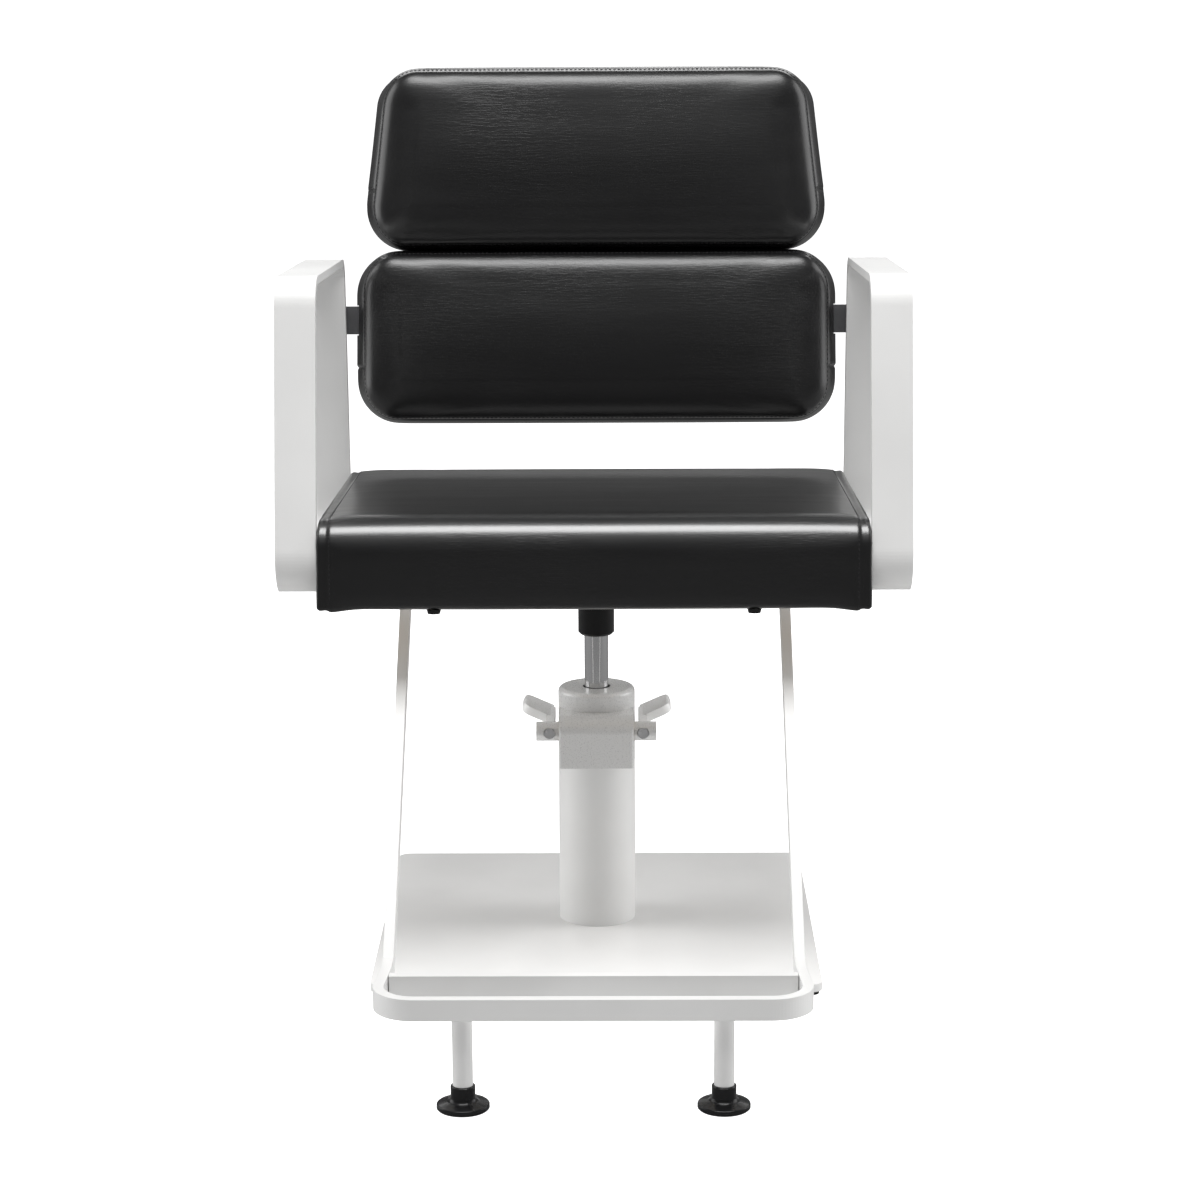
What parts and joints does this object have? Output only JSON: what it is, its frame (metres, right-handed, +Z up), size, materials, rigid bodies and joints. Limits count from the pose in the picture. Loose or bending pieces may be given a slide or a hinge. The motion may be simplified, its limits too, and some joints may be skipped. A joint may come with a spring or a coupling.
{
  "type": "styling chair",
  "caption": "Salon styling chair: padded seat and split back between closed flat-bar arm loops, foot-pumped column on a square base, and a footrest frame on legs with glides.",
  "frame": {"origin": "on the column's axis at floor level, the centre of the base's underside", "axes": "+Z up along the column; the sitter faces -Y, so the footrest is at -Y and the back at +Y; +X is the sitter's left"},
  "size_m": [0.616, 0.7727, 0.8948],
  "materials": {
    "white_paint": "satin",
    "silver_paint": "satin",
    "pedal_paint": "satin",
    "grey_paint": "satin",
    "black_leather": "semi-gloss",
    "black_rubber": "matte",
    "black_plastic": "satin",
    "black_gloss": "gloss",
    "chrome": "polished",
    "zinc_steel": "satin",
    "dark_steel": "satin",
    "bronze": "satin",
    "copper_pipe": "satin",
    "plywood": "raw"
  },
  "bodies": {
    "base": {"base_mat": "black_rubber", "base_plate": "white_paint", "column_tube": "white_paint", "cylinder_foot": "zinc_steel", "pump_cylinder": "zinc_steel", "pump_head": "silver_paint", "ram_bush": "bronze", "ram_wiper_seal": "black_rubber", "shaft_bushes": "bronze", "pump_barrel": "zinc_steel", "oil_pipe": "copper_pipe", "check_valve_balls": "chrome", "plunger_spring": "zinc_steel"},
    "pedals": {"cross_shaft": "silver_paint", "plunger_rocker": "zinc_steel", "left_pedal": "pedal_paint", "right_pedal": "pedal_paint", "pedal_bolts": "zinc_steel"},
    "plunger": {"pump_plunger": "chrome"},
    "lift_piston": {"ram_piston": "zinc_steel", "piston_rings": "black_rubber"},
    "chair": {"ram": "chrome", "ram_nut": "zinc_steel", "ram_socket": "dark_steel", "socket_cover": "black_plastic", "seat_plate": "white_paint", "left_hanger": "white_paint", "right_hanger": "white_paint", "footrest_frame": "white_paint", "footrest_cross_bar": "white_paint", "left_leg": "white_paint", "right_leg": "white_paint", "leg_inserts": "zinc_steel", "front_seat_bar": "white_paint", "rear_seat_bar": "white_paint", "seat_board": "plywood", "seat_tee_nuts": "zinc_steel", "seat_bolts": "zinc_steel", "seat_buttons": "black_plastic", "seat_cushion": "black_leather", "left_arm": "white_paint", "right_arm": "white_paint", "arm_bolts": "zinc_steel", "back_bar": "grey_paint", "back_bar_wedges": "grey_paint", "back_bar_bolts": "dark_steel", "back_straps": "grey_paint", "strap_bolts": "dark_steel", "lower_back_board": "plywood", "upper_back_board": "plywood", "board_screws": "zinc_steel", "lower_back_pad": "black_leather", "upper_back_pad": "black_leather", "lower_rear_panel": "black_leather", "upper_rear_panel": "black_leather"},
    "left_glide": {"left_glide": "black_gloss", "left_glide_stud": "zinc_steel"},
    "right_glide": {"right_glide": "black_gloss", "right_glide_stud": "zinc_steel"}
  },
  "joints": [
    {"name": "pedal_press", "type": "hinge", "parent": "base", "child": "pedals", "pos_m": [0, -0.046, 0.2255], "axis": [-1, 0, 0], "range_deg": [0, 20], "stiffness_Nm_per_rad": 3, "springref_deg": -22.92},
    {"name": "plunger_stroke", "type": "slide", "parent": "base", "child": "plunger", "axis": [0, 0, -1], "range_m": [0, 0.0235], "deforming": ["plunger_spring"]},
    {"name": "lift", "type": "slide", "parent": "base", "child": "lift_piston", "axis": [0, 0, 1], "range_m": [0, 0.13]},
    {"name": "swivel", "type": "hinge", "parent": "lift_piston", "child": "chair", "pos_m": [0, 0, 0.3], "axis": [0, 0, 1], "continuous": true},
    {"name": "left_glide_adjust", "type": "slide", "parent": "chair", "child": "left_glide", "axis": [0, 0, -1], "range_m": [0, 0.012]},
    {"name": "right_glide_adjust", "type": "slide", "parent": "chair", "child": "right_glide", "axis": [0, 0, -1], "range_m": [0, 0.012]}
  ],
  "couplings": [
    {"joint": "plunger_stroke", "follows": "pedal_press", "m_per_rad": 0.065}
  ]
}
